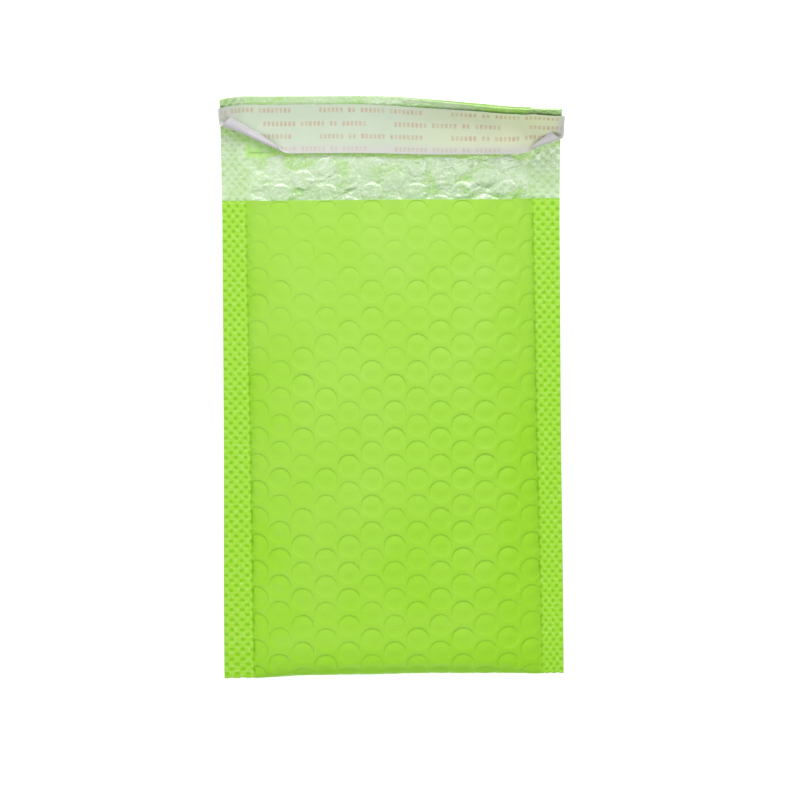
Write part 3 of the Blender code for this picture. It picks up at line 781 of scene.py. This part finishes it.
class Nodes:
    """Short hand for one material's node tree."""

    def __init__(self, name, color, roughness):
        self.material = bpy.data.materials.new(name)
        self.material.use_nodes = True
        self.tree = self.material.node_tree
        self.shader = self.tree.nodes["Principled BSDF"]
        self.shader.inputs["Base Color"].default_value = (*color, 1)
        self.shader.inputs["Roughness"].default_value = roughness
        self.material.diffuse_color = (*color, 1)
        self.place = self.tree.nodes.new("ShaderNodeTexCoord").outputs["Object"]

    def set(self, **values):
        for name, value in values.items():
            self.shader.inputs[name.replace("_", " ")].default_value = value

    def node(self, kind, **inputs):
        made = self.tree.nodes.new("ShaderNode" + kind)
        for name, value in inputs.items():
            key = int(name[1:]) if name[0] == "i" and name[1:].isdigit() else name.replace("_", " ")
            if isinstance(value, bpy.types.NodeSocket):
                self.tree.links.new(value, made.inputs[key])
            else:
                made.inputs[key].default_value = value
        return made

    def noise(self, scale, detail=2.0, rough=0.5):
        made = self.node("TexNoise", Vector=self.place, Scale=scale, Detail=detail, Roughness=rough)
        return made.outputs[0]

    def math(self, kind, a, b=0.0, c=0.0):
        made = self.node("Math", i0=a, i1=b, i2=c)
        made.operation = kind
        return made.outputs[0]

    def times(self, a, b):
        return self.math("MULTIPLY", a, b)

    def plus(self, a, b):
        return self.math("ADD", a, b)

    def size(self, a):
        return self.math("ABSOLUTE", a)

    def range(self, value, low, high, to_low=0.0, to_high=1.0):
        made = self.node("MapRange", Value=value, From_Min=low, From_Max=high, To_Min=to_low, To_Max=to_high)
        made.clamp = True
        return made.outputs[0]

    def mix(self, share, a, b):
        made = self.tree.nodes.new("ShaderNodeMix")
        made.data_type = "RGBA"
        for key, value in ((0, share), (6, a), (7, b)):
            if isinstance(value, bpy.types.NodeSocket):
                self.tree.links.new(value, made.inputs[key])
            else:
                made.inputs[key].default_value = value if key == 0 else (*value, 1)
        return made.outputs[2]

    def bump(self, height, distance, strength=1.0, normal=None):
        made = self.node("Bump", Height=height, Distance=distance, Strength=strength)
        if normal:
            self.tree.links.new(normal, made.inputs["Normal"])
        return made.outputs[0]

    def attribute(self):
        made = self.tree.nodes.new("ShaderNodeAttribute")
        made.attribute_name = "value"
        return made.outputs["Fac"]

    def flat(self):
        """Place on the flat sheet: across and along it."""
        made = self.tree.nodes.new("ShaderNodeUVMap")
        made.uv_map = "flat"
        split = self.node("SeparateXYZ", Vector=made.outputs[0])
        return split.outputs[0], split.outputs[1]

    def knurls(self, x, s):
        """The pits of the seals, and the mesh left between them, both 0 to 1."""
        off = self.size(x)
        across, along = 2 * math.pi / KNURL_ACROSS, 2 * math.pi / KNURL_ALONG
        a = self.math("COSINE", self.math("MULTIPLY_ADD", off, across, -across * (HALF - KNURL_INSET)))
        b = self.math("COSINE", self.times(s, along))
        flatter = self.math("MULTIPLY_ADD", self.size(b), 0.5, -0.5)
        wave = self.plus(self.times(a, b), flatter)
        wave = self.plus(wave, self.range(self.noise(700, 2), 0.3, 0.7, -0.28, 0.28))
        seal = self.range(off, INNER - 0.0018, INNER - 0.0008)
        pits = self.times(seal, self.range(wave, 0.10, 0.55))
        return pits, self.times(seal, self.range(wave, 0.15, -0.45))

    def connect(self, **outputs):
        for name, value in outputs.items():
            self.tree.links.new(value, self.shader.inputs[name.replace("_", " ")])


# Colours of the film: lit at its upper end, painted shade lower down and at its bottom edge, then grain, seals,
# pit shade, cut edges.
FILM_UPPER_LIT = (0.405, 0.745, 0.085)
FILM_LOWER_SHADED = (0.330, 0.700, 0.018)
FILM_BOTTOM_SHADED = (0.265, 0.620, 0.003)
FILM_GRAIN = (0.47, 0.80, 0.16)
FILM_MESH = (0.385, 0.75, 0.04)
FILM_FLECK = (0.53, 0.85, 0.28)
FILM_PIT_SHADE = (0.225, 0.585, 0.001)
FILM_CUT_EDGE = (0.30, 0.52, 0.12)


def film_material():
    """Lime film with painted shade toward the bottom, both sides and the right, random tone, painted shade in
    the pits of its seals, and pale flecks there.
    """
    m = Nodes("lime_film_detail", (0.36, 0.73, 0.05), 0.40)
    x, s = m.flat()
    y = m.node("SeparateXYZ", Vector=m.place).outputs[1]
    off = m.size(x)
    tone, grain = m.noise(42, 3), m.noise(2600, 2)
    # Painted shade: darker toward the bottom, toward both sides and toward the right, with random tone mixed
    # in.
    deep = m.plus(m.range(y, 0.090, -0.090, 0.0, 0.72), m.range(tone, 0.35, 0.68, -0.16, 0.20))
    deep = m.plus(deep, m.range(off, 0.035, INNER, 0.0, 0.32))
    deep = m.plus(deep, m.range(x, 0.0, INNER, 0.0, 0.18))
    color = m.mix(m.range(deep, 0.0, 1.0), FILM_UPPER_LIT, FILM_LOWER_SHADED)
    # Painted shade along the bottom fold.
    color = m.mix(m.range(y, -0.112, -0.1265, 0.0, 0.9), color, FILM_BOTTOM_SHADED)
    color = m.mix(m.range(grain, 0.35, 0.75, 0.0, 0.08), color, FILM_GRAIN)
    pits, mesh = m.knurls(x, s)
    color = m.mix(m.times(mesh, 0.6), color, FILM_MESH)
    fleck = m.times(mesh, m.range(m.noise(850, 2), 0.50, 0.66, 0.0, 0.50))
    fleck = m.times(fleck, m.math("GREATER_THAN", off, INNER + 0.0002))
    color = m.mix(fleck, color, FILM_FLECK)
    # Painted shade in the pits of the seals.
    pits = m.times(pits, m.range(off, INNER - 0.0006, INNER + 0.0008, 0.35, 0.95))
    color = m.mix(pits, color, FILM_PIT_SHADE)
    color = m.mix(m.times(m.attribute(), 0.85), color, FILM_CUT_EDGE)
    m.connect(Base_Color=color, Roughness=m.range(tone, 0.3, 0.7, 0.36, 0.46))
    fine = m.bump(grain, 0.00002, 0.5)
    m.connect(Normal=m.bump(m.noise(260, 4), 0.00010, 0.35, fine))
    m.set(Specular_IOR_Level=0.32)
    return m.material


# Colours of the lining over the flap, from where it stands off to where it sticks to the green film and lies in
# painted shade below the liner, then of its painted highlight streaks, its seals, the painted shade in their
# pits, and its painted highlights.
LINING_LOOSE = (0.61, 0.80, 0.49)
LINING_WET = (0.40, 0.71, 0.19)
LINING_STUCK_AND_SHADED = (0.46, 0.82, 0.14)
LINING_STREAK_HIGHLIGHT = (0.74, 0.89, 0.67)
LINING_SEAL = (0.44, 0.70, 0.24)
LINING_PIT_SHADE = (0.36, 0.61, 0.22)
LINING_MESH = (0.72, 0.88, 0.66)
LINING_SPARKLE_HIGHLIGHT = (0.84, 0.94, 0.78)
LINING_CREST_HIGHLIGHT = (0.88, 0.96, 0.85)


def lining_material():
    """Clear film over the green one: lime where it clings and in painted shade below the liner, pale where it
    stands off, with painted highlights on its crests, streaks and sparkles, and painted shade in its seal pits.
    """
    m = Nodes("bubble_film_detail", (0.55, 0.77, 0.42), 0.2)
    x, s = m.flat()
    close = m.attribute()
    patch, streak = m.noise(150, 4, 0.6), m.noise(420, 5, 0.65)
    wet = m.times(m.range(patch, 0.36, 0.60, 0.25, 1.0), m.range(close, 0.15, 0.85))
    color = m.mix(wet, LINING_LOOSE, LINING_WET)
    # Lime where the lining sticks, and painted shade in the band below the liner.
    color = m.mix(m.range(close, 0.75, 1.1, 0.0, 0.9), color, LINING_STUCK_AND_SHADED)
    # Painted highlights: pale streaks.
    color = m.mix(m.range(streak, 0.51, 0.66, 0.0, 0.55), color, LINING_STREAK_HIGHLIGHT)
    seal = m.times(m.range(m.size(x), INNER - 0.006, INNER), m.range(patch, 0.38, 0.62, 0.0, 0.75))
    color = m.mix(seal, color, LINING_SEAL)
    pits, mesh = m.knurls(x, s)
    # Painted shade in the pits of the seals.
    color = m.mix(m.times(pits, 0.38), color, LINING_PIT_SHADE)
    color = m.mix(m.times(mesh, 0.25), color, LINING_MESH)
    # Painted highlights: pale sparkles, then white crests.
    color = m.mix(m.range(m.noise(1100, 3), 0.56, 0.66, 0.0, 0.45), color, LINING_SPARKLE_HIGHLIGHT)
    color = m.mix(m.range(close, -0.12, -0.80, 0.0, 0.70), color, LINING_CREST_HIGHLIGHT)
    m.connect(Base_Color=color)
    folds = m.node("TexVoronoi", Vector=m.place, Scale=420.0)
    folds.feature = "DISTANCE_TO_EDGE"
    crinkle = m.bump(m.range(folds.outputs["Distance"], 0.0, 0.35), 0.00014, 0.8)
    m.connect(Normal=m.bump(streak, 0.00025, 0.6, crinkle))
    m.set(Specular_IOR_Level=0.7, Coat_Weight=0.5, Coat_Roughness=0.12)
    return m.material


# Colours of the adhesive: clear, smeared, and its painted highlight streaks.
ADHESIVE_CLEAR = (0.40, 0.74, 0.15)
ADHESIVE_SMEAR = (0.53, 0.80, 0.34)
ADHESIVE_STREAK_HIGHLIGHT = (0.72, 0.88, 0.62)


def adhesive_material():
    m = Nodes("adhesive_detail", (0.42, 0.66, 0.24), 0.3)
    smear, streak = m.noise(220, 4, 0.6), m.noise(420, 5, 0.65)
    color = m.mix(m.range(smear, 0.42, 0.62), ADHESIVE_CLEAR, ADHESIVE_SMEAR)
    # Painted highlights: pale streaks like those on the lining.
    color = m.mix(m.range(streak, 0.50, 0.64, 0.0, 0.6), color, ADHESIVE_STREAK_HIGHLIGHT)
    m.connect(Base_Color=color, Roughness=m.range(smear, 0.3, 0.7, 0.22, 0.45))
    m.connect(Normal=m.bump(streak, 0.00022, 0.7))
    return m.material


# Colours of the liner: its left half, its right half, yellower and painted lighter against the shade of its
# curl, clouds in it, where it stands off, its print, its underside.
LINER_LEFT = (0.585, 0.68, 0.52)
LINER_RIGHT_LIT = (0.83, 0.875, 0.59)
LINER_CLOUD = (0.68, 0.76, 0.62)
LINER_RAISED = (0.69, 0.68, 0.66)
LINER_INK = (0.54, 0.22, 0.13)
LINER_UNDER = (0.63, 0.605, 0.64)

# Printed rows on the liner: height on the flap, start of the first block, and the gaps, counted in marks.
ROWS = (
    (0.0410, -0.0880, (6, 9, 16)),
    (0.0350, -0.0548, (8, 15, 18)),
    (0.0294, -0.0880, (6, 9, 16)),
    (0.0237, -0.0548, (8, 15, 18)),
)
MARK = 0.00184  # from one mark to the next
BLOCK_MARKS = 25  # marks and gaps in a block
BLOCK_PITCH = 0.058  # from one block to the next
MARK_HALF_WIDTH, MARK_HALF_HEIGHT = (0.0005, 0.0007), (0.00085, 0.00125)  # in full ink, and with none


def printed_rows(m, x, v):
    """1 on the plain marks of the printed rows, which repeat along the liner."""
    ink = 0.0
    for row, start, gaps in ROWS:
        along = m.math("MODULO", m.math("SUBTRACT", x, start), BLOCK_PITCH)
        off_mark = m.size(m.math("SUBTRACT", m.math("MODULO", along, MARK), MARK / 2))
        off_row = m.size(m.math("SUBTRACT", v, row))
        marks = m.range(off_mark, *MARK_HALF_WIDTH[::-1])
        here = m.times(m.range(off_row, *MARK_HALF_HEIGHT[::-1]), marks)
        here = m.times(here, m.math("LESS_THAN", along, BLOCK_MARKS * MARK))
        for gap in gaps:
            apart = m.size(m.math("SUBTRACT", along, (gap + 0.5) * MARK))
            here = m.times(here, m.math("GREATER_THAN", apart, MARK / 2))
        ink = m.math("MAXIMUM", ink, here)
    return ink


def liner_material():
    """Frosted film with rows of plain printed marks, yellower and painted lighter at its right, greyer where it
    stands off.
    """
    m = Nodes("frosted_liner_detail", (0.61, 0.70, 0.53), 0.42)
    raised = m.attribute()
    x, v = m.flat()
    # The right half is yellower, and painted lighter to offset the shade of its curl.
    body = m.mix(m.range(x, 0.000, 0.050), LINER_LEFT, LINER_RIGHT_LIT)
    body = m.mix(m.range(m.noise(55, 2), 0.3, 0.7, 0.0, 0.35), body, LINER_CLOUD)
    body = m.mix(raised, body, LINER_RAISED)
    smudge = m.range(m.noise(300, 2), 0.35, 0.65, 0.45, 1.0)
    ink = m.times(m.times(printed_rows(m, x, v), smudge), m.range(raised, 0.0, 1.0, 0.52, 0.22))
    color = m.mix(ink, body, LINER_INK)
    color = m.mix(m.math("LESS_THAN", v, 0.0), color, LINER_UNDER)
    m.connect(Base_Color=color)
    m.connect(Normal=m.bump(m.noise(340, 3), 0.0001, 0.4))
    m.set(Specular_IOR_Level=0.45)
    return m.material


# The studio, metres. Lamps: name, place, width, length, and power in watts.
LAMPS = (
    ("key", (0.05, 1.15, 0.95), 1.3, 0.5, 13.4),
    ("fill", (-0.9, -0.5, 1.0), 0.7, 0.7, 3),
    ("front", (0.1, -1.2, 1.0), 0.9, 0.5, 5),
    ("glint", (0.5, 0.6, 1.1), 0.12, 0.5, 2),
)
WORLD_LIGHT = 0.36  # strength of the even light from all round
FLOOR_HALF, FLOOR_Z = 2, -0.0002  # half its side, and its height
FLOOR_GLOW = 0.62  # added where the floor is seen, so that it comes out white
CAMERA_AT, CAMERA_TURN = (0.0033, -0.0058, 1.3), -0.39  # the turn is in degrees
LENS, SENSOR = 132, 36  # millimetres


def area_light(name, place_at, width, length, power):
    """A rectangular lamp that points at the middle of the scene."""
    lamp = bpy.data.lights.new(name, "AREA")
    lamp.shape = "RECTANGLE"
    lamp.size = width
    lamp.size_y = length
    lamp.energy = power
    made = bpy.data.objects.new(name, lamp)
    made.location = place_at
    made.rotation_euler = (-Vector(place_at)).to_track_quat("-Z", "Y").to_euler()
    bpy.context.scene.collection.objects.link(made)


def seen_directly(tree):
    """1 for rays from the camera and for those reflected or let through, 0 for light falling on things."""
    path = tree.nodes.new("ShaderNodeLightPath")
    seen = path.outputs["Is Camera Ray"]
    for name in ("Is Glossy Ray", "Is Transmission Ray"):
        either = tree.nodes.new("ShaderNodeMath")
        either.operation = "MAXIMUM"
        tree.links.new(seen, either.inputs[0])
        tree.links.new(path.outputs[name], either.inputs[1])
        seen = either.outputs[0]
    return seen


def joined(tree, kind, *shaders):
    """A shader node of a kind, with its inputs linked in order."""
    made = tree.nodes.new(kind)
    for number, shader in enumerate(shaders):
        tree.links.new(shader, made.inputs[number])
    return made.outputs[0]


def surroundings():
    """White where they are seen, and a weak even light on things."""
    world = bpy.data.worlds.new("studio")
    bpy.context.scene.world = world
    world.use_nodes = True
    tree = world.node_tree
    light, white = tree.nodes["Background"], tree.nodes.new("ShaderNodeBackground")
    for node, strength in ((light, WORLD_LIGHT), (white, 1.0)):
        node.inputs["Color"].default_value = (1.0, 1.0, 1.0, 1)
        node.inputs["Strength"].default_value = strength
    mix = joined(tree, "ShaderNodeMixShader", seen_directly(tree), light.outputs[0], white.outputs[0])
    tree.links.new(mix, tree.nodes["World Output"].inputs[0])


def floor_material():
    """Pale paper that takes shadows, and glows only where it is seen."""
    paper = Nodes("studio_floor", (0.86, 0.86, 0.86), 0.9)
    tree = paper.tree
    dark, glow = tree.nodes.new("ShaderNodeEmission"), tree.nodes.new("ShaderNodeEmission")
    dark.inputs["Strength"].default_value = 0.0
    glow.inputs["Strength"].default_value = FLOOR_GLOW
    choose = joined(tree, "ShaderNodeMixShader", seen_directly(tree), dark.outputs[0], glow.outputs[0])
    both = joined(tree, "ShaderNodeAddShader", paper.shader.outputs[0], choose)
    tree.links.new(both, tree.nodes["Material Output"].inputs[0])
    return paper.material


def paper_floor():
    mesh = bpy.data.meshes.new("floor")
    corners = [(-1, -1), (1, -1), (1, 1), (-1, 1)]
    mesh.from_pydata([(x * FLOOR_HALF, y * FLOOR_HALF, 0) for x, y in corners], [], [(0, 1, 2, 3)])
    mesh.materials.append(floor_material())
    floor = bpy.data.objects.new("floor", mesh)
    floor.location.z = FLOOR_Z
    bpy.context.scene.collection.objects.link(floor)


def camera_above():
    """The camera straight above the mailer, as in the photograph, with plain colours."""
    scene = bpy.context.scene
    lens = bpy.data.cameras.new("camera")
    lens.lens = LENS
    lens.sensor_width = SENSOR
    camera = bpy.data.objects.new("camera", lens)
    camera.location = CAMERA_AT
    camera.rotation_euler = (0, 0, math.radians(CAMERA_TURN))
    scene.collection.objects.link(camera)
    scene.camera = camera
    scene.view_settings.view_transform = "Standard"


film = outer_film(film_material())
lining = bubble_lining(lining_material())
strip = adhesive_strip(adhesive_material())
liner = release_liner(liner_material())
surroundings()
paper_floor()
for lamp in LAMPS:
    area_light(*lamp)
camera_above()
